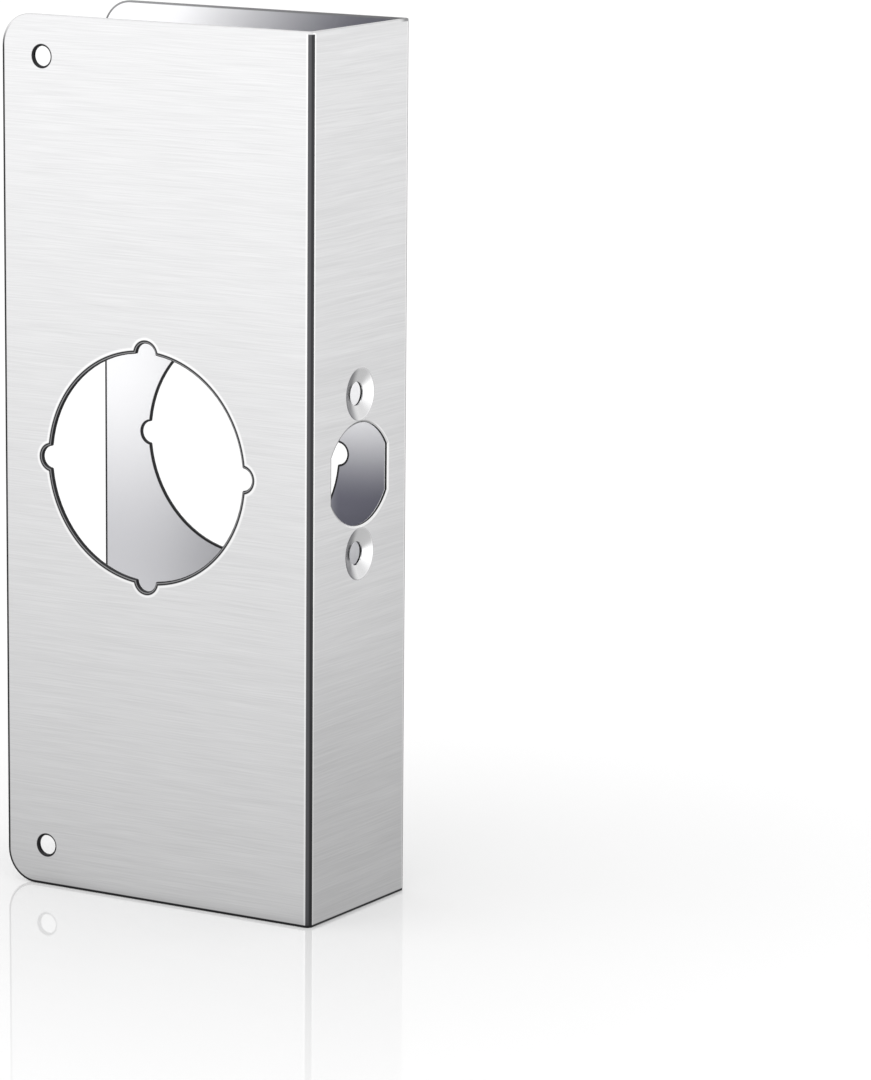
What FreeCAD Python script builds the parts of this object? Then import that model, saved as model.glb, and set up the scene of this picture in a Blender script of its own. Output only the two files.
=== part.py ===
"""Wrap-around door reinforcer plate: one stainless sheet folded into a U that slips over the door's edge.

Frame, in millimetres: the origin is the centre of the lock bore, half-way through the door.
+X points out of the door's edge, -Y out of the front face of the door, +Z up.
"""

import FreeCAD, Part
import math
import os

import Sketcher

NODE = "reinforcer_plate"
TOLERANCE = 1e-4

# Every size that can be set by itself: alias, value in millimetres, what it measures.
SIZES = [
    ("door_thickness", 44.45, "door that the channel slips over"),
    ("door_clearance", 0.25, "channel's width beyond the door's thickness"),
    ("sheet_thickness", 1.0, "stainless sheet"),
    ("bend_inside_radius", 0.6, "inside of both folds"),
    ("edge_rounding", 0.3, "outer edge of the blank, rounded"),
    ("hole_bevel", 0.3, "outer edges of the openings and holes, bevelled"),
    ("plate_height", 228.6, "top edge to bottom edge"),
    ("corner_radius", 8.5, "rounding of the flanges' free corners"),
    ("backset", 49.0, "door's edge to the lock bore's axis"),
    ("lock_bore_diameter", 59.0, "round opening for the lock, in both flanges"),
    ("free_edge_margin", 14.5, "lock bore's wall to a flange's free edge"),
    ("notch_radius", 2.9, "round notch for a trim post"),
    ("notch_depth", 2.7, "how far a notch reaches past the bore's wall"),
    ("notch_mouth_radius", 0.4, "rounding where a notch meets the bore"),
    ("face_screw_diameter", 5.2, "screw holes near the flanges' free corners"),
    ("face_screw_from_end", 10.7, "top or bottom edge to a screw hole's centre"),
    ("face_screw_from_side", 12.3, "free edge to a screw hole's centre"),
    ("edge_screw_spacing", 41.3, "between the two latch plate screws"),
    ("edge_screw_diameter", 6.2, "hole at the bottom of a dish"),
    ("dish_diameter", 13.0, "pressed dish, where its wall would meet the sheet's outer face"),
    ("dish_depth", 1.15, "outer face down to the screw hole"),
    ("dish_wall", 0.9, "sheet's thickness in the dish, thinned by pressing"),
    ("dish_lip", 0.35, "flat ring round the screw hole, inside"),
    ("dish_bend_inside_radius", 0.4, "inside of the bend at a dish's rim"),
    ("latch_opening_width", 27.0, "latch opening across its two flats"),
    ("latch_flat_length", 12.0, "each flat, between the opening's two arcs"),
    ("latch_bridge", 0.85, "sheet left between the latch opening and a dish"),
]

# Sizes that follow from the ones above: alias, formula in the sheet's own aliases.
FOLLOWING = [
    ("outer_half_depth", "door_thickness / 2 + door_clearance / 2 + sheet_thickness"),
    ("bend_outside_radius", "bend_inside_radius + sheet_thickness"),
    ("edge_face_place", "backset + sheet_thickness"),
    ("edge_middle_place", "backset + sheet_thickness / 2"),
    ("lock_bore_radius", "lock_bore_diameter / 2"),
    ("free_edge_place", "lock_bore_radius + free_edge_margin"),
    ("notch_place", "lock_bore_radius + notch_depth - notch_radius"),
    ("face_screw_radius", "face_screw_diameter / 2"),
    ("face_screw_place", "free_edge_place - face_screw_from_side"),
    ("face_screw_height", "plate_height / 2 - face_screw_from_end"),
    ("edge_screw_radius", "edge_screw_diameter / 2"),
    ("dish_height", "edge_screw_spacing / 2"),
    ("dish_radius", "dish_diameter / 2"),
    ("dish_hole_place", "edge_face_place - dish_depth"),
    ("dish_slope", "(dish_radius - edge_screw_radius) / dish_depth"),
    ("dish_wall_along", "dish_wall * sqrt(1 + dish_slope ^ 2) / dish_slope"),
    ("dish_back_radius", "dish_radius + (dish_wall_along - sheet_thickness) * dish_slope"),
    ("dish_lip_radius", "edge_screw_radius + dish_lip"),
    ("dish_back_depth", "dish_wall_along + (dish_radius - dish_lip_radius) / dish_slope"),
    ("dish_back_place", "edge_face_place - dish_back_depth"),
    ("dish_clear_place", "dish_back_place - sheet_thickness"),
    ("dish_bend_outside_radius", "dish_bend_inside_radius + sheet_thickness"),
    ("latch_half_width", "latch_opening_width / 2"),
    ("latch_half_height", "dish_height - dish_radius - latch_bridge"),
    ("latch_arc_rise", "latch_half_height - latch_flat_length / 2"),
    ("latch_arc_radius", "(latch_half_width ^ 2 + latch_arc_rise ^ 2) / (2 * latch_arc_rise)"),
]

# How a sketch numbers its two axes, the points of an element, and its origin.
LEVEL_AXIS, UPRIGHT_AXIS = -1, -2
START, END, CENTRE = range(1, 4)
ORIGIN = (LEVEL_AXIS, START)


class Sheet:
    """The spreadsheet that drives the model, and its values as plain numbers for starting points."""

    def __init__(self, doc):
        self.cells = doc.addObject("Spreadsheet::Sheet", "sizes")
        self.value = {}
        for row, (alias, size, meaning) in enumerate(SIZES, start=1):
            self.put(row, alias, str(size), meaning)
            self.value[alias] = size
        doc.recompute()
        for row, (alias, formula) in enumerate(FOLLOWING, start=len(SIZES) + 2):
            self.put(row, alias, "=" + formula, "follows")
            doc.recompute()
            self.value[alias] = float(self.cells.get(alias))

    def put(self, row, alias, content, meaning):
        self.cells.set(f"A{row}", alias)
        self.cells.set(f"B{row}", content)
        self.cells.setAlias(f"B{row}", alias)
        self.cells.set(f"C{row}", meaning)


def origin_plane(body, role):
    """One of the body's own three planes: XY_Plane, XZ_Plane or YZ_Plane."""
    return next(f for f in body.Origin.OriginFeatures if f.Role == role)


class Drawing:
    """A sketch on one of the body's planes, whose dimensions the sheet drives."""

    def __init__(self, body, name, role, sheet):
        self.sketch = body.newObject("Sketcher::SketchObject", name)
        self.sketch.AttachmentSupport = [(origin_plane(body, role), "")]
        self.sketch.MapMode = "FlatFace"
        self.value = sheet.value

    def line(self, start, end):
        segment = Part.LineSegment(FreeCAD.Vector(*start, 0), FreeCAD.Vector(*end, 0))
        return self.sketch.addGeometry(segment, False)

    def circle(self, centre, radius):
        whole = Part.Circle(FreeCAD.Vector(*centre, 0), FreeCAD.Vector(0, 0, 1), radius)
        return self.sketch.addGeometry(whole, False)

    def arc(self, centre, radius, start_deg, end_deg):
        whole = Part.Circle(FreeCAD.Vector(*centre, 0), FreeCAD.Vector(0, 0, 1), radius)
        piece = Part.ArcOfCircle(whole, math.radians(start_deg), math.radians(end_deg))
        return self.sketch.addGeometry(piece, False)

    def fix(self, kind, *where):
        return self.sketch.addConstraint(Sketcher.Constraint(kind, *where))

    def size(self, kind, *where, alias, name=None):
        """A dimension that takes its value from the sheet, and its name from there unless one is given."""
        name = name or alias
        index = self.fix(kind, *where, self.value[alias])
        self.sketch.renameConstraint(index, name)
        self.sketch.setExpression(f"Constraints.{name}", f"sizes.{alias}")


def draw_section(body, sheet):
    """The folded sheet's U section, seen from above: two flanges, the edge plate and two bends."""
    d = Drawing(body, "u_section", "XY_Plane", sheet)
    v = sheet.value
    left, right = -v["free_edge_place"], v["edge_face_place"]
    half, thick = v["outer_half_depth"], v["sheet_thickness"]
    outer, inner = v["bend_outside_radius"], v["bend_inside_radius"]
    bend_x, bend_y = right - outer, half - outer

    front_out = d.line((left, -half), (bend_x, -half))
    front_bend_out = d.arc((bend_x, -bend_y), outer, -90, 0)
    edge_out = d.line((right, -bend_y), (right, bend_y))
    back_bend_out = d.arc((bend_x, bend_y), outer, 0, 90)
    back_out = d.line((bend_x, half), (left, half))
    back_end = d.line((left, half), (left, half - thick))
    back_in = d.line((left, half - thick), (bend_x, half - thick))
    back_bend_in = d.arc((bend_x, bend_y), inner, 0, 90)
    edge_in = d.line((right - thick, bend_y), (right - thick, -bend_y))
    front_bend_in = d.arc((bend_x, -bend_y), inner, -90, 0)
    front_in = d.line((bend_x, thick - half), (left, thick - half))
    front_end = d.line((left, thick - half), (left, -half))

    for first, end, second, start in (
        (front_out, END, front_bend_out, START),
        (front_bend_out, END, edge_out, START),
        (edge_out, END, back_bend_out, START),
        (back_bend_out, END, back_out, START),
        (back_in, END, back_bend_in, END),
        (back_bend_in, START, edge_in, START),
        (edge_in, END, front_bend_in, END),
        (front_bend_in, START, front_in, START),
    ):
        d.fix("Tangent", first, end, second, start)
    for first, second in (
        (back_out, back_end),
        (back_end, back_in),
        (front_in, front_end),
        (front_end, front_out),
    ):
        d.fix("Coincident", first, END, second, START)
    for level in (front_out, back_out, back_in, front_in):
        d.fix("Horizontal", level)
    for upright in (edge_out, edge_in, back_end, front_end):
        d.fix("Vertical", upright)
    d.fix("Coincident", front_bend_out, CENTRE, front_bend_in, CENTRE)
    d.fix("Coincident", back_bend_out, CENTRE, back_bend_in, CENTRE)
    d.fix("Equal", front_bend_out, back_bend_out)
    d.fix("Symmetric", front_end, END, back_end, START, LEVEL_AXIS)

    d.size("Radius", back_bend_out, alias="bend_outside_radius")
    d.size("Radius", back_bend_in, alias="bend_inside_radius")
    d.size("DistanceX", back_end, START, *ORIGIN, alias="free_edge_place")
    d.size("DistanceX", *ORIGIN, edge_out, END, alias="edge_face_place")
    d.size("DistanceY", *ORIGIN, back_end, START, alias="outer_half_depth")
    return d.sketch


def draw_bore(body, sheet):
    """The lock bore's circle."""
    d = Drawing(body, "lock_bore_outline", "XZ_Plane", sheet)
    bore = d.circle((0, 0), sheet.value["lock_bore_radius"])
    d.fix("Coincident", bore, CENTRE, *ORIGIN)
    d.size("Radius", bore, alias="lock_bore_radius")
    return d.sketch


def draw_notch(body, sheet):
    """One of the lock bore's notches, with its mouth rounded into the bore's wall."""
    d = Drawing(body, "notch_outline", "XZ_Plane", sheet)
    v = sheet.value
    wall, place = v["lock_bore_radius"], v["notch_place"]
    radius, mouth = v["notch_radius"], v["notch_mouth_radius"]
    mouth_x = ((wall + mouth) ** 2 - (radius + mouth) ** 2 + place**2) / (2 * place)
    mouth_y = math.sqrt((wall + mouth) ** 2 - mouth_x**2)
    on_bore = math.degrees(math.atan2(mouth_y, mouth_x))
    on_notch = math.degrees(math.atan2(mouth_y, mouth_x - place))
    share = wall / (wall + mouth)

    bore = d.circle((0, 0), wall)
    d.sketch.toggleConstruction(bore)
    round_end = d.arc((place, 0), radius, -on_notch, on_notch)
    upper = d.arc((mouth_x, mouth_y), mouth, 180 + on_bore, 180 + on_notch)
    lower = d.arc((mouth_x, -mouth_y), mouth, 180 - on_notch, 180 - on_bore)
    chord = d.line((mouth_x * share, mouth_y * share), (mouth_x * share, -mouth_y * share))

    d.fix("Coincident", bore, CENTRE, *ORIGIN)
    d.fix("PointOnObject", round_end, CENTRE, LEVEL_AXIS)
    d.fix("Tangent", round_end, END, upper, END)
    d.fix("Tangent", lower, START, round_end, START)
    d.fix("Tangent", upper, START, bore)
    d.fix("Tangent", lower, END, bore)
    d.fix("Coincident", upper, START, chord, START)
    d.fix("Coincident", chord, END, lower, END)
    d.fix("Equal", upper, lower)
    d.size("Radius", bore, alias="lock_bore_radius")
    d.size("Radius", round_end, alias="notch_radius")
    d.size("Radius", upper, alias="notch_mouth_radius")
    d.size("DistanceX", *ORIGIN, round_end, CENTRE, alias="notch_place")
    return d.sketch


def draw_face_screw(body, sheet):
    """The screw hole near the upper free corner of the flanges."""
    d = Drawing(body, "face_screw_outline", "XZ_Plane", sheet)
    v = sheet.value
    hole = d.circle((-v["face_screw_place"], v["face_screw_height"]), v["face_screw_radius"])
    d.size("Radius", hole, alias="face_screw_radius")
    d.size("DistanceX", hole, CENTRE, *ORIGIN, alias="face_screw_place")
    d.size("DistanceY", *ORIGIN, hole, CENTRE, alias="face_screw_height")
    return d.sketch


def draw_latch_opening(body, sheet):
    """The latch opening: two flats, one towards each face of the door, between two wide arcs."""
    d = Drawing(body, "latch_opening_outline", "YZ_Plane", sheet)
    v = sheet.value
    half_width, half_flat = v["latch_half_width"], v["latch_flat_length"] / 2
    radius = v["latch_arc_radius"]
    past_middle = radius - v["latch_half_height"]
    turn = math.degrees(math.atan2(half_flat + past_middle, half_width))

    top = d.arc((0, -past_middle), radius, turn, 180 - turn)
    front_flat = d.line((-half_width, half_flat), (-half_width, -half_flat))
    bottom = d.arc((0, past_middle), radius, 180 + turn, 360 - turn)
    back_flat = d.line((half_width, -half_flat), (half_width, half_flat))

    for first, second in ((top, front_flat), (front_flat, bottom), (bottom, back_flat), (back_flat, top)):
        d.fix("Coincident", first, END, second, START)
    d.fix("PointOnObject", top, CENTRE, UPRIGHT_AXIS)
    d.fix("PointOnObject", bottom, CENTRE, UPRIGHT_AXIS)
    d.fix("Equal", top, bottom)
    d.fix("Symmetric", front_flat, START, front_flat, END, LEVEL_AXIS)
    d.fix("Vertical", back_flat)
    d.size("Radius", top, alias="latch_arc_radius")
    d.size("DistanceY", front_flat, END, front_flat, START, alias="latch_flat_length")
    d.size("DistanceX", front_flat, START, *ORIGIN, alias="latch_half_width", name="to_front")
    d.size("DistanceX", *ORIGIN, back_flat, START, alias="latch_half_width", name="to_back")
    return d.sketch


def draw_turned_outline(body, name, sheet, corners):
    """A closed outline of straight lines, to turn about the axis of the upper dish.

    Each corner is two aliases: its place out of the door, and its distance from the dish's axis,
    or None on the axis.
    """
    d = Drawing(body, name, "XZ_Plane", sheet)
    d.sketch.setExpression("AttachmentOffset.Base.y", "sizes.dish_height")
    v = sheet.value
    points = [(v[place], v[away] if away else 0) for place, away in corners]
    edges = [d.line(start, end) for start, end in zip(points, points[1:] + points[:1])]
    for first, second in zip(edges, edges[1:] + edges[:1]):
        d.fix("Coincident", first, END, second, START)
    for number, (edge, (place, away)) in enumerate(zip(edges, corners)):
        d.size("DistanceX", *ORIGIN, edge, START, alias=place, name=f"out{number}")
        if away is None:
            d.fix("PointOnObject", edge, START, LEVEL_AXIS)
        else:
            d.size("DistanceY", *ORIGIN, edge, START, alias=away, name=f"away{number}")
    return d.sketch


def pocket(body, name, sketch, both_ways=True, reverse=False):
    """Cuts a sketch right through the sheet, on both sides of its plane or on one."""
    cut = body.newObject("PartDesign::Pocket", name)
    cut.Profile = sketch
    cut.Type = 1
    cut.Midplane = both_ways
    cut.Reversed = reverse
    body.Document.recompute()
    return cut


def turned(body, kind, name, sketch):
    """A full turn of an outline about its sketch's level axis."""
    made = body.newObject(f"PartDesign::{kind}", name)
    made.Profile = sketch
    made.ReferenceAxis = (sketch, ["H_Axis"])
    made.Angle = 360
    body.Document.recompute()
    return made


def mirror(body, name, originals, role):
    """Repeats features on the other side of one of the body's planes."""
    made = body.newObject("PartDesign::Mirrored", name)
    made.Originals = originals
    made.MirrorPlane = (origin_plane(body, role), [""])
    body.Tip = made
    body.Document.recompute()
    return made


def dressed(body, kind, name, base, wanted, alias):
    """Rounds (Fillet) or bevels (Chamfer) the edges of the last feature that a test accepts."""
    names = [f"Edge{i}" for i, edge in enumerate(base.Shape.Edges, start=1) if wanted(edge)]
    if not names:
        raise RuntimeError(f"{name}: no edge was found to dress")
    made = body.newObject(f"PartDesign::{kind}", name)
    made.Base = (base, names)
    made.setExpression("Radius" if kind == "Fillet" else "Size", f"sizes.{alias}")
    body.Document.recompute()
    return made


def near(a, b):
    return abs(a - b) < TOLERANCE


def edge_points(edge):
    """Three points along an edge, clear of its ends."""
    first, last = edge.ParameterRange
    return [edge.valueAt(first + (last - first) * share) for share in (0.2, 0.5, 0.8)]


def free_corner(v):
    """The short edges through the sheet at the flanges' free corners."""

    def wanted(edge):
        middle = edge_points(edge)[1]
        return near(middle.x, -v["free_edge_place"]) and near(abs(middle.z), v["plate_height"] / 2)

    return wanted


def blank_edge(v):
    """The outer edge all round the folded blank, but not the seams along the folds."""
    outer = v["bend_outside_radius"]
    bend_x, bend_y = v["edge_face_place"] - outer, v["outer_half_depth"] - outer

    def on_skin(point):
        return near(math.hypot(max(point.x - bend_x, 0), max(abs(point.y) - bend_y, 0)), outer)

    def wanted(edge):
        points = edge_points(edge)
        upright = near(points[0].x, points[2].x) and near(points[0].y, points[2].y)
        seam = upright and (near(points[0].x, bend_x) or near(abs(points[0].y), bend_y))
        return all(on_skin(point) for point in points) and not seam

    return wanted


def latch_edge(v):
    """The outer edge of the latch opening."""

    def wanted(edge):
        on_face = all(near(point.x, v["edge_face_place"]) for point in edge_points(edge))
        middle = edge_points(edge)[1]
        across = abs(middle.y) < v["latch_half_width"] + TOLERANCE
        return on_face and across and abs(middle.z) < v["latch_half_height"] + TOLERANCE

    return wanted


def hole_edge(v):
    """The outer edges of the lock bore, its notches and the screw holes, on both flanges."""
    notch_end = v["notch_place"] + v["notch_radius"]

    def wanted(edge):
        middle = edge_points(edge)[1]
        on_face = all(near(abs(point.y), v["outer_half_depth"]) for point in edge_points(edge))
        from_screw = math.hypot(middle.x + v["face_screw_place"], abs(middle.z) - v["face_screw_height"])
        at_bore = math.hypot(middle.x, middle.z) < notch_end + TOLERANCE
        return on_face and (at_bore or from_screw < v["face_screw_radius"] + TOLERANCE)

    return wanted


def dish_ring(v, place, radius):
    """The rings round both dishes with that place out of the door and that radius."""

    def wanted(edge):
        if not isinstance(edge.Curve, Part.Circle):
            return False
        centre = edge.Curve.Center
        at_dish = near(centre.y, 0) and near(abs(centre.z), v["dish_height"])
        return at_dish and near(centre.x, v[place]) and near(edge.Curve.Radius, v[radius])

    return wanted


def fold_blank(body, sheet):
    """The folded blank, with its flanges' free corners and its whole outer edge rounded."""
    strip = body.newObject("PartDesign::Pad", "folded_strip")
    strip.Profile = draw_section(body, sheet)
    strip.Midplane = True
    strip.setExpression("Length", "sizes.plate_height")
    body.Document.recompute()
    corners = dressed(body, "Fillet", "free_corners", strip, free_corner(sheet.value), "corner_radius")
    dressed(body, "Fillet", "rounded_edge", corners, blank_edge(sheet.value), "edge_rounding")


def cut_edge_plate(body, sheet):
    """The latch opening in the edge plate."""
    latch = pocket(body, "latch_opening", draw_latch_opening(body, sheet), both_ways=False, reverse=True)
    dressed(body, "Chamfer", "latch_bevel", latch, latch_edge(sheet.value), "hole_bevel")


def cut_flanges(body, sheet):
    """The lock bore with its four notches, and the screw holes near the free corners, in both flanges."""
    pocket(body, "lock_bore", draw_bore(body, sheet))

    notch_sketch = draw_notch(body, sheet)
    notch = pocket(body, "notch", notch_sketch)
    notches = body.newObject("PartDesign::PolarPattern", "notches")
    notches.Originals = [notch]
    notches.Axis = (notch_sketch, ["N_Axis"])
    notches.Angle = 360
    notches.Occurrences = 4
    body.Tip = notches
    body.Document.recompute()

    face_screw = pocket(body, "face_screw_hole", draw_face_screw(body, sheet))
    face_screws = mirror(body, "face_screw_holes", [face_screw], "XY_Plane")
    dressed(body, "Chamfer", "hole_bevels", face_screws, hole_edge(sheet.value), "hole_bevel")


def press_dishes(body, sheet):
    """Two dishes pressed into the edge plate, with a screw hole at the bottom of each."""
    back = draw_turned_outline(body, "dish_back_outline", sheet, [
        ("edge_middle_place", None),
        ("edge_middle_place", "dish_back_radius"),
        ("backset", "dish_back_radius"),
        ("dish_back_place", "dish_lip_radius"),
        ("dish_back_place", None),
    ])
    dish_back = turned(body, "Revolution", "dish_back", back)
    front = draw_turned_outline(body, "dish_outline", sheet, [
        ("edge_face_place", None),
        ("edge_face_place", "dish_radius"),
        ("dish_hole_place", "edge_screw_radius"),
        ("dish_clear_place", "edge_screw_radius"),
        ("dish_clear_place", None),
    ])
    dish = turned(body, "Groove", "dish", front)
    dishes = mirror(body, "dishes", [dish_back, dish], "XY_Plane")

    v = sheet.value
    outside = dish_ring(v, "edge_face_place", "dish_radius")
    inside = dish_ring(v, "backset", "dish_back_radius")
    rims = dressed(body, "Fillet", "dish_rims", dishes, outside, "dish_bend_outside_radius")
    dressed(body, "Fillet", "dish_rims_inside", rims, inside, "dish_bend_inside_radius")


def build(doc, sheet):
    """The whole plate as one body."""
    body = doc.addObject("PartDesign::Body", NODE)
    body.Label = NODE
    fold_blank(body, sheet)
    cut_edge_plate(body, sheet)
    cut_flanges(body, sheet)
    press_dishes(body, sheet)
    return body


def check(doc, body):
    """Stops before anything is written if a feature failed or the solid isn't sound."""
    for thing in doc.Objects:
        if "Invalid" in thing.State or "Error" in thing.State:
            raise RuntimeError(f"{thing.Name} failed: {thing.State}")
    shape = body.Shape
    if shape.isNull() or not shape.isValid() or len(shape.Solids) != 1:
        raise RuntimeError(f"{body.Label} isn't one sound solid")


def main():
    doc = FreeCAD.newDocument("door_reinforcer_plate")
    body = build(doc, Sheet(doc))
    check(doc, body)
    os.makedirs("parts", exist_ok=True)
    body.Shape.exportStep(os.path.join("parts", NODE + ".step"))
    print(f"{NODE}: {body.Shape.Volume / 1000:.2f} cm3, {len(body.Shape.Faces)} faces")


main()
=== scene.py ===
"""Looks of a folded door reinforcer plate: brushed stainless outside, plain inside, on a pale floor.

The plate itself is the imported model's one node. It keeps its mesh, and gets its finish here.
"""

import logging
import math
from dataclasses import dataclass, field
from enum import Enum
from typing import Any, Mapping, Sequence, Union

import bpy
from mathutils import Matrix, Vector


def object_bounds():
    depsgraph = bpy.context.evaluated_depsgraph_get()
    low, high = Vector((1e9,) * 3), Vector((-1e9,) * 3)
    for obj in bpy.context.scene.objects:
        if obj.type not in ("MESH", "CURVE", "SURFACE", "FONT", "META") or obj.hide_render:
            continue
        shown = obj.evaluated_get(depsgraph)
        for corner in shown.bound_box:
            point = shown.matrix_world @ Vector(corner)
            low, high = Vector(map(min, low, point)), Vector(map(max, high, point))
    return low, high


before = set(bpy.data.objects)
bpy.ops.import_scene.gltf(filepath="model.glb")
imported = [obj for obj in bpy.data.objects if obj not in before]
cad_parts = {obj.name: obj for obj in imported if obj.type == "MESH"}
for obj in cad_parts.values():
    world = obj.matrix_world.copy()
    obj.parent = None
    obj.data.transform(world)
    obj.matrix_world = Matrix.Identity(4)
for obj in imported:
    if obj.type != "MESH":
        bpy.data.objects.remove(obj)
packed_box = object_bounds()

log = logging.getLogger("reinforcer_plate")

PLATE_NODE = "reinforcer_plate"
MM = 0.001
IMAGE_HEIGHT_PX = 1080
SENSOR_MM = 36.0

Colour = tuple[float, float, float, float]
Span = tuple[float, float]


class Ray(Enum):
    """Kinds of ray that the floor and the sky tell apart."""

    CAMERA = "Is Camera Ray"
    GLOSSY = "Is Glossy Ray"


@dataclass(frozen=True)
class FoldedSheet:
    """Where the U-folded sheet lies, in millimetres of the row frame.

    The section is a rounded U: two flanges, the edge plate and two bends of one radius. Two conical
    dishes are pressed into the edge plate.
    """

    bend_centre_x: float = 48.4
    bend_centre_y: float = 21.75
    bend_middle_radius: float = 1.1
    thickness: float = 1.0
    edge_bevel: float = 0.3
    edge_face_x: float = 50.0
    dish_height: float = 20.65
    dish_radius: float = 6.5
    dish_bend_reach: float = 0.4
    dish_hole_radius: float = 3.1
    dish_depth: float = 1.15
    dish_back_x: float = 48.0
    free_edge_x: float = -44.0
    end_z: float = 114.3
    corner_radius: float = 8.5
    bore_radius: float = 29.5
    notch_place: float = 29.3
    notch_radius: float = 2.9
    screw_x: float = -31.7
    screw_z: float = 103.6
    screw_radius: float = 2.6
    latch_half_width: float = 13.5
    latch_arc_radius: float = 16.13
    latch_arc_offset: float = 2.83

    @property
    def dish_slope(self) -> float:
        """How far the dish's wall runs inwards for each millimetre of depth."""
        return (self.dish_radius - self.dish_hole_radius) / self.dish_depth


class Term:
    """One number that varies over a surface, so that shader maths reads as a Python expression."""

    def __init__(self, bench: "Bench", socket: bpy.types.NodeSocket) -> None:
        """Wraps a socket of the bench's tree."""
        self.bench = bench
        self.socket = socket

    def _maths(self, operation: str, *others: Any) -> "Term":
        """Adds one Math node that works on this term and the others."""
        return self.bench.maths(operation, self, *others)

    def __add__(self, other: Any) -> "Term":
        """self + other"""
        return self._maths("ADD", other)

    __radd__ = __add__

    def __sub__(self, other: Any) -> "Term":
        """self - other"""
        return self._maths("SUBTRACT", other)

    def __rsub__(self, other: Any) -> "Term":
        """other - self"""
        return self.bench.maths("SUBTRACT", other, self)

    def __mul__(self, other: Any) -> "Term":
        """self * other"""
        return self._maths("MULTIPLY", other)

    __rmul__ = __mul__

    def __truediv__(self, other: Any) -> "Term":
        """self / other"""
        return self._maths("DIVIDE", other)

    def __abs__(self) -> "Term":
        """abs(self)"""
        return self._maths("ABSOLUTE")

    def __neg__(self) -> "Term":
        """-self"""
        return self * -1

    def least(self, other: Any) -> "Term":
        """The smaller of the two."""
        return self._maths("MINIMUM", other)

    def most(self, other: Any) -> "Term":
        """The larger of the two."""
        return self._maths("MAXIMUM", other)

    def squared(self) -> "Term":
        """self * self"""
        return self * self

    def root(self) -> "Term":
        """Square root."""
        return self._maths("SQRT")


Number = Union[Term, float, int]


class Bench:
    """A node tree that is being built, and the few kinds of node it takes."""

    def __init__(self, tree: bpy.types.NodeTree) -> None:
        """Starts with an empty tree."""
        self.tree = tree
        tree.nodes.clear()

    def node(self, kind: str, settings: Mapping[str, Any] = {}, **values: Any) -> bpy.types.Node:
        """Adds a node.

        Args:
            kind: Blender's name of the node's type.
            settings: properties of the node, set before its sockets.
            values: what each input socket holds or is linked to, by the socket's name with _ for a space.

        Returns:
            The new node.
        """
        made = self.tree.nodes.new(kind)
        for name, value in settings.items():
            setattr(made, name, value)
        for name, value in values.items():
            self.feed(made.inputs[name.replace("_", " ")], value)
        return made

    def feed(self, socket: bpy.types.NodeSocket, value: Any) -> None:
        """Links a term, a socket or a node's first output to a socket, or sets the socket's own value."""
        if isinstance(value, Term):
            value = value.socket
        if isinstance(value, bpy.types.Node):
            value = value.outputs[0]
        if isinstance(value, bpy.types.NodeSocket):
            self.tree.links.new(value, socket)
        else:
            socket.default_value = value

    def maths(self, operation: str, *parts: Number) -> Term:
        """Adds a Math node of that operation over the parts."""
        made = self.node("ShaderNodeMath", {"operation": operation})
        for socket, part in zip(made.inputs, parts):
            self.feed(socket, part)
        return Term(self, made.outputs[0])

    def ramp(self, value: Number, low: float, high: float) -> Term:
        """A smooth step from 0 at low to 1 at high."""
        made = self.node(
            "ShaderNodeMapRange",
            {"interpolation_type": "SMOOTHSTEP"},
            Value=value, From_Min=low, From_Max=high, To_Min=0.0, To_Max=1.0,
        )
        return Term(self, made.outputs[0])

    def band(self, value: Number, low: float, high: float, soft: float) -> Term:
        """1 between low and high, 0 outside, with soft borders."""
        return self.ramp(value, low - soft, low + soft) * (1 - self.ramp(value, high - soft, high + soft))

    def length(self, first: Term, second: Term) -> Term:
        """Length of a flat vector."""
        return (first.squared() + second.squared()).root()

    def scaled(self, vector: Any, scale: Number) -> bpy.types.Node:
        """A vector or colour times a number."""
        made = self.node("ShaderNodeVectorMath", {"operation": "SCALE"}, Vector=vector)
        self.feed(made.inputs["Scale"], scale)
        return made

    def split(self, vector: Any) -> tuple[Term, Term, Term]:
        """The three parts of a vector."""
        made = self.node("ShaderNodeSeparateXYZ", Vector=vector)
        return tuple(Term(self, made.outputs[i]) for i in range(3))

    def join(self, x: Number, y: Number, z: Number) -> bpy.types.Node:
        """A vector of three parts."""
        return self.node("ShaderNodeCombineXYZ", X=x, Y=y, Z=z)

    def noise(self, where: Any, detail: float, roughness: float = 0.5) -> Term:
        """Fractal noise from 0 to 1 over a vector."""
        made = self.node(
            "ShaderNodeTexNoise", Vector=where, Scale=1.0, Detail=detail, Roughness=roughness
        )
        return Term(self, made.outputs[0])

    def seen_by(self, ray: Ray) -> Term:
        """1 for rays of that kind, else 0."""
        return Term(self, self.node("ShaderNodeLightPath").outputs[ray.value])

    def blend(self, share: Number, first: Any, second: Any) -> bpy.types.NodeSocket:
        """A colour between two, by share."""
        made = self.node("ShaderNodeMix", {"data_type": "RGBA", "clamp_factor": True})
        self.feed(made.inputs[0], share)
        self.feed(made.inputs[6], first)
        self.feed(made.inputs[7], second)
        return made.outputs[2]

    def shader(self, kind: str, **values: Any) -> bpy.types.Node:
        """A shader node by the end of its type's name."""
        return self.node("ShaderNode" + kind, **values)

    def mix_shader(self, share: Number, first: Any, second: Any) -> bpy.types.Node:
        """A shader between two, by share."""
        made = self.node("ShaderNodeMixShader")
        for socket, value in zip(made.inputs, (share, first, second)):
            self.feed(socket, value)
        return made

    def add_shader(self, first: Any, second: Any) -> bpy.types.Node:
        """Two shaders added."""
        made = self.node("ShaderNodeAddShader")
        for socket, value in zip(made.inputs, (first, second)):
            self.feed(socket, value)
        return made

    def finish(self, surface: Any, output: str = "ShaderNodeOutputMaterial") -> None:
        """Links the last shader to the tree's output."""
        self.feed(self.node(output).inputs["Surface"], surface)


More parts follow.
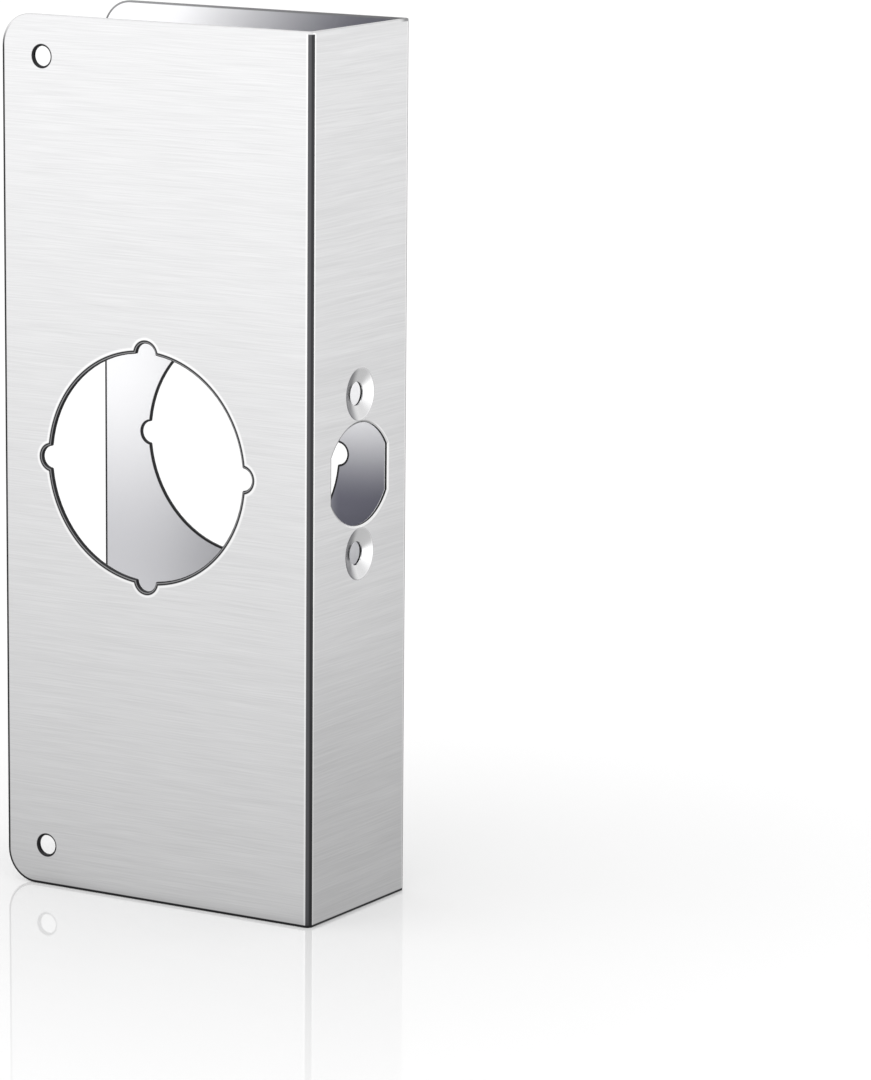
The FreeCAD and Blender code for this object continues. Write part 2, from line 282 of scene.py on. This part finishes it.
def grey(level: float, cool: float = 0.0) -> Colour:
    """A linear grey, a little bluer by cool."""
    return (level * (1 - cool), level * (1 - cool), level * (1 + cool), 1.0)


@dataclass(frozen=True)
class EdgeDistances:
    """Distances in the sheet from its kinds of cut edge, in millimetres."""

    blank: Term
    bore: Term
    screw: Term
    latch: Term


@dataclass(frozen=True)
class PaintedInsideShade:
    """Where shade is painted on the unbrushed inside, as spans in millimetres from unshaded to shaded."""

    towards_fold: Span = (-20.0, 40.0)
    towards_ends: Span = (30.0, 95.0)
    at_ends: float = 0.9
    far_flange: Span = (-1.0, 1.0)
    near_fold: Span = (18.0, 30.0)
    short_of_fold: Span = (46.0, 43.0)
    below_latch: Span = (-20.0, 13.0)
    above_lower_dish: Span = (24.0, 19.5)
    clear_of_fold: Span = (30.0, 18.0)
    below_bore: Span = (8.0, 60.0)
    below_bore_soft: float = 26.0
    by_bore: float = 0.42

    def over(self, bench: Bench, x: Term, y: Term, z: Term) -> Term:
        """How much painted shade the inside takes at a place in millimetres, from 0 to 1."""
        far = bench.ramp(y, *self.far_flange)
        by_fold = bench.ramp(x, *self.near_fold) * bench.ramp(x, *self.short_of_fold) * far
        at_ends = bench.ramp(x, *self.towards_fold) * bench.ramp(abs(z), *self.towards_ends) * self.at_ends
        by_latch = by_fold * bench.ramp(-z, *self.below_latch) * bench.ramp(-z, *self.above_lower_dish)
        below_bore = bench.band(-z, *self.below_bore, self.below_bore_soft)
        by_bore = bench.ramp(x, *self.clear_of_fold) * far * below_bore * self.by_bore
        return at_ends.most(by_latch).most(by_bore)


@dataclass(frozen=True)
class Brushing:
    """The brush's lines round the plate: how often they change along and across it, per millimetre."""

    wander_per_mm: Span = (0.02, 0.08)
    wander_reach: float = 1.5
    wander_detail: float = 1.0
    line_detail: float = 3.0
    line_roughness: float = 0.6
    fine_per_mm: Span = (0.05, 3.2)
    coarse_per_mm: Span = (0.012, 0.5)
    fine_contrast: float = 0.30
    coarse_contrast: float = 0.10

    def lines(self, bench: Bench, x: Term, y: Term, z: Term) -> tuple[Term, Term]:
        """The fine lines and the broader bands, each from 0 to 1."""
        along, across = self.wander_per_mm
        wander = bench.noise(bench.join(x * along, y * along, z * across), self.wander_detail)
        level = z + wander * self.wander_reach
        fine = self.drawn_out(bench, x, y, level, self.fine_per_mm)
        return fine, self.drawn_out(bench, x, y, level, self.coarse_per_mm)

    def drawn_out(self, bench: Bench, x: Term, y: Term, level: Term, per_mm: Span) -> Term:
        """Noise drawn out into lines."""
        along, across = per_mm
        drawn = bench.join(x * along, y * along, level * across)
        return bench.noise(drawn, self.line_detail, self.line_roughness)

    def tone(self, fine: Term, coarse: Term) -> Term:
        """How much the lines lighten and darken the skin, about 0."""
        return (fine - 0.5) * self.fine_contrast + (coarse - 0.5) * self.coarse_contrast


@dataclass(frozen=True)
class StainlessFinish:
    """The plate's one material: brushed outside, plain inside, with painted shade on the cut edges and
    inside, a painted dark reflection on the folds and painted highlights beside some edges.

    The spans of lines along an edge are distances from it in millimetres.
    """

    sheet: FoldedSheet = field(default_factory=FoldedSheet)
    brushing: Brushing = field(default_factory=Brushing)
    painted_inside_shade: PaintedInsideShade = field(default_factory=PaintedInsideShade)
    brushed: Colour = grey(0.70, 0.004)
    plain: Colour = grey(0.92, 0.008)
    # painted shade on the inside
    plain_shaded: Colour = grey(0.17, 0.10)
    # painted shade on the near half of each dish
    dish_shaded: Colour = grey(0.20, 0.03)
    # painted highlight, for the fold borders, the band beside the bore and the lit side of the latch's rim
    light: Colour = grey(0.95)
    # painted shade on the cut walls and in the dark lines along the cut edges
    cut: Colour = grey(0.028, 0.03)
    # painted half-light on some cut edges: the far side of the top end, the bore's bevel and the latch's
    # rim
    cut_lit: Colour = grey(0.28, 0.01)
    # painted dark reflection on the folds; fold_shaded is its darker, more shaded side
    fold: Colour = grey(0.10, 0.03)
    fold_shaded: Colour = grey(0.045, 0.03)
    brushed_roughness: float = 0.30
    plain_roughness: float = 0.38
    dish_roughness: float = 0.13
    roughness_contrast: float = 0.1
    cut_more_roughness: float = 0.2
    across_grain: float = 0.75
    bump_strength: float = 0.12
    bump_depth: float = 0.0001
    dish_shade_span: Span = (0.0, 4.0)
    dish_shade_share: float = 0.95
    dish_rim_soft: float = 0.1
    dish_back: Span = (-0.4, -0.2)
    bevel_soft: float = 0.06
    inside_skin: Span = (0.05, 0.15)
    # where the top end's cut walls take painted light instead of painted shade
    top_end: Span = (105.0, 113.0)
    far_top: Span = (18.0, 21.0)
    # painted shade along the inside's edges
    inner_line: Span = (0.65, 0.45)
    skin_change: Span = (-0.1, 0.1)
    # the bore's painted highlight band, painted shade line and painted light line on its bevel
    bore_glow: Span = (0.95, 1.55)
    bore_glow_soft: float = 0.3
    bore_glow_share: float = 0.8
    bore_line: Span = (1.0, 0.8)
    bore_bevel: Span = (0.25, 0.5)
    bore_bevel_soft: float = 0.08
    bore_bevel_share: float = 0.9
    # painted shade lines along the screw holes and the blank's edge, and the painted light line along the
    # latch's rim
    screw_line: Span = (0.65, 0.45)
    blank_line: Span = (0.8, 0.6)
    latch_line: Span = (0.65, 0.45)
    # which side of the latch's rim takes the painted highlight
    latch_lit_side: Span = (-10.0, 4.0)
    latch_lit_slope: float = 0.6
    # painted highlight borders and painted dark reflection stripes of the folds
    fold_border: Span = (-0.25, -0.05)
    fold_border_share: float = 0.8
    fold_stripe: Span = (0.2, 0.4)
    fold_shade: Span = (-0.3, 0.3)

    def make(self) -> bpy.types.Material:
        """Builds the material.

        Returns:
            The material, for the plate's slot.
        """
        material = bpy.data.materials.new("stainless_sheet")
        material.use_nodes = True
        bench = Bench(material.node_tree)
        coordinates = bench.node("ShaderNodeTexCoord")
        x, y, z = bench.split(bench.scaled(coordinates.outputs["Object"], 1 / MM))
        dish = self.dish_mask(bench, x, y, z)
        across = self.across_sheet(bench, x, y, z, dish)
        cut = self.cut_mask(bench, across)
        edges = self.from_edges(bench, x, y, z)
        fine, coarse = self.brushing.lines(bench, x, y, z)
        off_dish = 1 - dish

        # Painted light on the cut walls at the top end, painted shade on the other cut walls.
        top_painted_light = bench.blend(bench.ramp(y, *self.far_top), self.brushed, self.cut_lit)
        cut_colour = bench.blend(bench.ramp(z, *self.top_end), self.cut, top_painted_light)
        skin = bench.scaled(self.brushed[:3], 1 + self.brushing.tone(fine, coarse) * off_dish)
        # Painted shade on the near half of each dish.
        dish_painted_shade = dish * bench.ramp(-y, *self.dish_shade_span) * self.dish_shade_share
        skin = bench.blend(dish_painted_shade, skin, self.dish_shaded)
        skin = self.draw_folds(bench, skin, x, y)
        skin = self.draw_edges(bench, skin, cut_colour, edges, y, z)
        # The cut walls take that painted shade and painted light.
        skin = bench.blend(cut, skin, cut_colour)
        bump = bench.node(
            "ShaderNodeBump", Strength=self.bump_strength, Distance=self.bump_depth, Height=fine * off_dish
        )
        brushed_roughness = self.brushed_roughness + (coarse - 0.5) * self.roughness_contrast
        roughness = brushed_roughness + cut * self.cut_more_roughness
        outer = bench.shader(
            "BsdfPrincipled", Base_Color=skin, Metallic=1.0,
            Roughness=roughness + dish * (self.dish_roughness - self.brushed_roughness),
            Anisotropic=self.across_grain, Normal=bump,
        )

        # Painted shade on the inside: darker towards the fold and the ends, by the latch and below the
        # bore.
        plain = bench.blend(self.painted_inside_shade.over(bench, x, y, z), self.plain, self.plain_shaded)
        # Painted shade along the inside's edges and on its cut walls.
        nearest = edges.blank.least(edges.bore).least(edges.screw)
        plain = bench.blend(bench.ramp(nearest, *self.inner_line).most(cut), plain, cut_colour)
        inner = bench.shader(
            "BsdfPrincipled", Base_Color=plain, Metallic=1.0, Roughness=self.plain_roughness
        )
        bench.finish(bench.mix_shader(bench.ramp(across, *self.skin_change), inner, outer))
        return material

    def dish_mask(self, bench: Bench, x: Term, y: Term, z: Term) -> Term:
        """1 at the two pressed dishes, through the whole sheet."""
        rim = self.sheet.dish_radius + self.sheet.dish_bend_reach
        start, end = self.dish_back
        near = 1 - bench.ramp(self.from_dish(bench, y, z), rim - self.dish_rim_soft, rim)
        return near * bench.ramp(x, self.sheet.dish_back_x + start, self.sheet.dish_back_x + end)

    def from_dish(self, bench: Bench, y: Term, z: Term) -> Term:
        """Distance from the nearer dish's axis."""
        return bench.length(y, abs(z) - self.sheet.dish_height)

    def across_sheet(self, bench: Bench, x: Term, y: Term, z: Term, dish: Term) -> Term:
        """Distance from the sheet's middle layer, positive towards the outside, in millimetres."""
        past_x = (x - self.sheet.bend_centre_x).most(0.0)
        past_y = (abs(y) - self.sheet.bend_centre_y).most(0.0)
        flat = bench.length(past_x, past_y) - self.sheet.bend_middle_radius
        inwards = self.sheet.dish_radius - self.from_dish(bench, y, z)
        wall_depth = (inwards / self.sheet.dish_slope).most(0.0)
        pressed = self.sheet.thickness / 2 - (self.sheet.edge_face_x - x - wall_depth)
        return flat + dish * (pressed - flat)

    def cut_mask(self, bench: Bench, across: Term) -> Term:
        """1 on walls cut through the sheet, 0 on its two skins and on the bevel outside."""
        half, bevel = self.sheet.thickness / 2, self.sheet.edge_bevel
        start, end = self.inside_skin
        below_bevel = 1 - bench.ramp(across, half - bevel - self.bevel_soft, half - bevel)
        above_inside = bench.ramp(across, start - half, end - half)
        return below_bevel * above_inside

    def draw_folds(self, bench: Bench, skin: Any, x: Term, y: Term) -> bpy.types.NodeSocket:
        """Lays a painted dark reflection stripe on each fold and painted highlight borders beside it over
        the brushed skin.

        Args:
            bench: the material's bench.
            skin: the colour so far.
            x: place out of the door, in millimetres.
            y: place across the door, in millimetres.

        Returns:
            The colour with the folds.
        """
        past_x = x - self.sheet.bend_centre_x
        past_y = abs(y) - self.sheet.bend_centre_y
        least = past_x.least(past_y)
        # Painted dark reflection on each fold, darker towards the edge plate, with painted highlight
        # borders beside it.
        stripe = bench.blend(bench.ramp(past_x - past_y, *self.fold_shade), self.fold, self.fold_shaded)
        border = bench.ramp(least, *self.fold_border) * self.fold_border_share
        skin = bench.blend(border, skin, self.light)
        return bench.blend(bench.ramp(least, *self.fold_stripe), skin, stripe)

    def draw_edges(
        self, bench: Bench, skin: Any, cut_colour: Any, edges: EdgeDistances, y: Term, z: Term
    ) -> bpy.types.NodeSocket:
        """Lays painted shade lines and painted highlight lines along the cut edges over the brushed skin.

        Args:
            bench: the material's bench.
            skin: the colour so far.
            cut_colour: the painted shade of the cut walls, with painted light at the top end.
            edges: the distances from each kind of edge.
            y: place across the door, in millimetres.
            z: place along the fold, in millimetres.

        Returns:
            The colour with the lines.
        """
        # Painted highlight band beside the bore, painted shade along its edge and a painted light line on
        # its bevel.
        glow = bench.band(edges.bore, *self.bore_glow, self.bore_glow_soft) * self.bore_glow_share
        bevel = bench.band(edges.bore, *self.bore_bevel, self.bore_bevel_soft) * self.bore_bevel_share
        skin = bench.blend(glow, skin, self.light)
        skin = bench.blend(bench.ramp(edges.bore, *self.bore_line), skin, self.cut)
        skin = bench.blend(bevel, skin, self.cut_lit)
        # Painted shade along the screw holes and the blank's edge; along the bottom it is a painted
        # contact shadow.
        skin = bench.blend(bench.ramp(edges.screw, *self.screw_line), skin, self.cut)
        skin = bench.blend(bench.ramp(edges.blank, *self.blank_line), skin, cut_colour)
        # Painted highlight on the lit side of the latch's rim, painted half-light on the other side.
        lit = bench.ramp(y - z * self.latch_lit_slope, *self.latch_lit_side)
        latch_painted_light = bench.blend(lit, self.cut_lit, self.light)
        return bench.blend(bench.ramp(edges.latch, *self.latch_line), skin, latch_painted_light)

    def from_edges(self, bench: Bench, x: Term, y: Term, z: Term) -> EdgeDistances:
        """Distances in the sheet from its cut edges, at a place in millimetres."""
        s = self.sheet
        corner_x = (s.free_edge_x + s.corner_radius - x).most(0.0)
        corner_z = (abs(z) - (s.end_z - s.corner_radius)).most(0.0)
        notch_axis = abs(x).most(abs(z)) - s.notch_place
        from_notch = bench.length(notch_axis, abs(x).least(abs(z))) - s.notch_radius
        from_arc = bench.length(y, abs(z) + s.latch_arc_offset) - s.latch_arc_radius
        off_edge_plate = bench.ramp(x, s.bend_centre_x, s.bend_centre_x - s.thickness) * s.end_z
        return EdgeDistances(
            blank=s.corner_radius - bench.length(corner_x, corner_z),
            bore=(bench.length(x, z) - s.bore_radius).least(from_notch),
            screw=bench.length(x - s.screw_x, abs(z) - s.screw_z) - s.screw_radius,
            latch=from_arc.most(abs(y) - s.latch_half_width) + off_edge_plate,
        )


@dataclass(frozen=True)
class Camera:
    """The camera that took the picture, as its place and turn about the plate."""

    azimuth_deg: float = 30.95
    elevation_deg: float = 11.01
    roll_deg: float = 0.47
    place_mm: tuple[float, float, float] = (737.5, -1108.85, 236.9)
    focal_px: float = 5209.0
    clip: Span = (0.05, 60.0)

    def make(self) -> bpy.types.Object:
        """Adds the camera and makes it the scene's own."""
        azimuth, elevation = math.radians(self.azimuth_deg), math.radians(self.elevation_deg)
        back = Vector((
            math.sin(azimuth) * math.cos(elevation),
            -math.cos(azimuth) * math.cos(elevation),
            math.sin(elevation),
        ))
        data = bpy.data.cameras.new("camera")
        data.lens = self.focal_px * SENSOR_MM / IMAGE_HEIGHT_PX
        data.sensor_width = SENSOR_MM
        data.clip_start, data.clip_end = self.clip
        made = bpy.data.objects.new("camera", data)
        bpy.context.scene.collection.objects.link(made)
        roll = Matrix.Rotation(math.radians(self.roll_deg), 3, "Z")
        turn = (-back).to_track_quat("-Z", "Y").to_matrix() @ roll
        made.matrix_world = Matrix.Translation(Vector(self.place_mm) * MM) @ turn.to_4x4()
        bpy.context.scene.camera = made
        return made


@dataclass(frozen=True)
class FarSoftbox:
    """A broad soft light so far away that it lights the whole floor alike."""

    name: str
    place: tuple[float, float, float]
    breadth_deg: float
    strength: float

    def make(self) -> bpy.types.Object:
        """Adds the light, facing the plate."""
        data = bpy.data.lights.new(self.name, "SUN")
        data.angle = math.radians(self.breadth_deg)
        data.energy = self.strength * math.pi
        made = bpy.data.objects.new(self.name, data)
        bpy.context.scene.collection.objects.link(made)
        made.location = self.place
        made.rotation_mode = "QUATERNION"
        made.rotation_quaternion = (-Vector(self.place)).to_track_quat("-Z", "Y")
        return made


@dataclass(frozen=True)
class Glow:
    """A broad soft stretch of the studio's walls or floor that is brighter than the rest."""

    azimuth_deg: float
    spread_deg: float
    strength: float
    full_share: float = 0.2

    def towards(self, bench: Bench, x: Term, y: Term) -> Term:
        """How much it adds towards a level direction.

        Args:
            bench: the bench of the sky or the floor.
            x: the direction's part along +X.
            y: the direction's part along +Y.

        Returns:
            Light to add there.
        """
        turn, spread = math.radians(self.azimuth_deg), math.radians(self.spread_deg)
        facing = x * math.cos(turn) + y * math.sin(turn)
        return bench.ramp(facing, math.cos(spread), math.cos(spread * self.full_share)) * self.strength


@dataclass(frozen=True)
class Studio:
    """Floor, sky and softbox round the plate.

    The plate's mirror image of the floor goes between two levels with the distance in metres, and
    the camera sees the floor a little lifted, so that it is white.
    """

    floor_level: float
    floor_size: float = 30.0
    floor_tone: float = 0.72
    camera_lift: float = 0.28
    mirror_share: float = 0.31
    mirror_reach: float = 0.24
    walls: float = 0.95
    glow_fade: Span = (0.02, 0.35)
    mirror_roughness: float = 0.012
    floor_far: float = 1.5
    floor_glow_from: Span = (0.2, 0.4)
    front_border: Span = (0.0, 0.01)
    before_plate: Span = (0.70, 1.44)
    beside_plate: Span = (0.58, 1.11)
    wall_glows: tuple[Glow, ...] = (
        Glow(-121.0, 60.0, 0.65),
        Glow(59.0, 40.0, 0.20),
        Glow(5.0, 40.0, 0.60),
    )
    floor_glows: tuple[Glow, ...] = (Glow(15.0, 34.0, 0.9),)
    softbox: FarSoftbox = FarSoftbox("high_softbox", (-0.6, -1.2, 2.4), 60.0, 0.15)

    def make(self) -> None:
        """Builds the whole studio."""
        self.lay_floor()
        self.light_sky()
        self.softbox.make()
        log.info("light %s", self.softbox.name)

    def floor_glow(self, bench: Bench, x: Term, y: Term) -> Term:
        """The floor's light as the plate mirrors it, rising with the distance before it and beside it."""
        low, high = packed_box
        before, beside = low.y - y, x - high.x
        distance = bench.length(beside, y)
        away = bench.ramp(distance, *self.floor_glow_from)
        front = self.rising(before, self.before_plate)
        side = self.rising(beside, self.beside_plate)
        for glow in self.floor_glows:
            side = side + glow.towards(bench, beside / distance, y / distance) * away
        return (side + bench.ramp(before, *self.front_border) * (front - side)).most(0.0)

    def rising(self, distance: Term, levels: Span) -> Term:
        """A light that goes from one level to the other over the floor."""
        near, far = levels
        return near + (distance.most(0.0) / self.floor_far).least(1.0).root() * (far - near)

    def lay_floor(self) -> None:
        """Adds the floor: matt and pale, with a thin gloss that mirrors what stands close to it."""
        bpy.ops.mesh.primitive_plane_add(size=self.floor_size, location=(0, 0, self.floor_level))
        made = bpy.context.object
        made.name = "floor"
        material = bpy.data.materials.new("pale_floor")
        material.use_nodes = True
        bench = Bench(material.node_tree)
        x, y, _ = bench.split(bench.node("ShaderNodeTexCoord").outputs["Object"])
        low, high = packed_box
        away_x = (x - high.x).most(low.x - x).most(0.0)
        away_y = (y - high.y).most(low.y - y).most(0.0)
        away = bench.length(away_x, away_y)
        mirror = (1 - away / self.mirror_reach).most(0.0) * self.mirror_share
        matt = bench.shader("BsdfDiffuse", Color=grey(self.floor_tone))
        lift = bench.shader("Emission", Color=grey(self.camera_lift))
        lifted = bench.mix_shader(bench.seen_by(Ray.CAMERA), matt, bench.add_shader(matt, lift))
        gloss = bench.shader("BsdfGlossy", Roughness=self.mirror_roughness)
        ground = bench.mix_shader(mirror, lifted, gloss)
        level = self.floor_glow(bench, x, y)
        glow = bench.shader("Emission", Color=bench.join(level, level, level))
        bench.finish(bench.mix_shader(bench.seen_by(Ray.GLOSSY), ground, glow))
        made.data.materials.append(material)

    def light_sky(self) -> None:
        """Sets the world: white to the camera, soft studio walls elsewhere."""
        world = bpy.data.worlds.new("studio")
        bpy.context.scene.world = world
        world.use_nodes = True
        bench = Bench(world.node_tree)
        x, y, z = bench.split(bench.node("ShaderNodeTexCoord").outputs["Generated"])
        added = sum(glow.towards(bench, x, y) for glow in self.wall_glows)
        level = self.walls + added * (1 - bench.ramp(z, *self.glow_fade))
        strength = level + bench.seen_by(Ray.CAMERA) * (1 - level)
        light = bench.shader("Background", Color=grey(1.0), Strength=strength)
        bench.finish(light, "ShaderNodeOutputWorld")


def dress_plate() -> bpy.types.Object:
    """Gives the plate its finish.

    Returns:
        The plate's object.
    """
    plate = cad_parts[PLATE_NODE]
    plate.data.materials.clear()
    plate.data.materials.append(StainlessFinish().make())
    return plate


def main() -> None:
    """Builds the scene in order."""
    logging.basicConfig(level=logging.INFO, format="%(message)s")
    bpy.ops.object.select_all(action="DESELECT")
    bpy.context.scene.view_settings.view_transform = "Standard"
    Camera().make()
    log.info("camera")
    plate = dress_plate()
    log.info("plate %s", plate.name)
    Studio(floor_level=packed_box[0].z).make()
    log.info("studio")


if __name__ == "__main__":
    main()
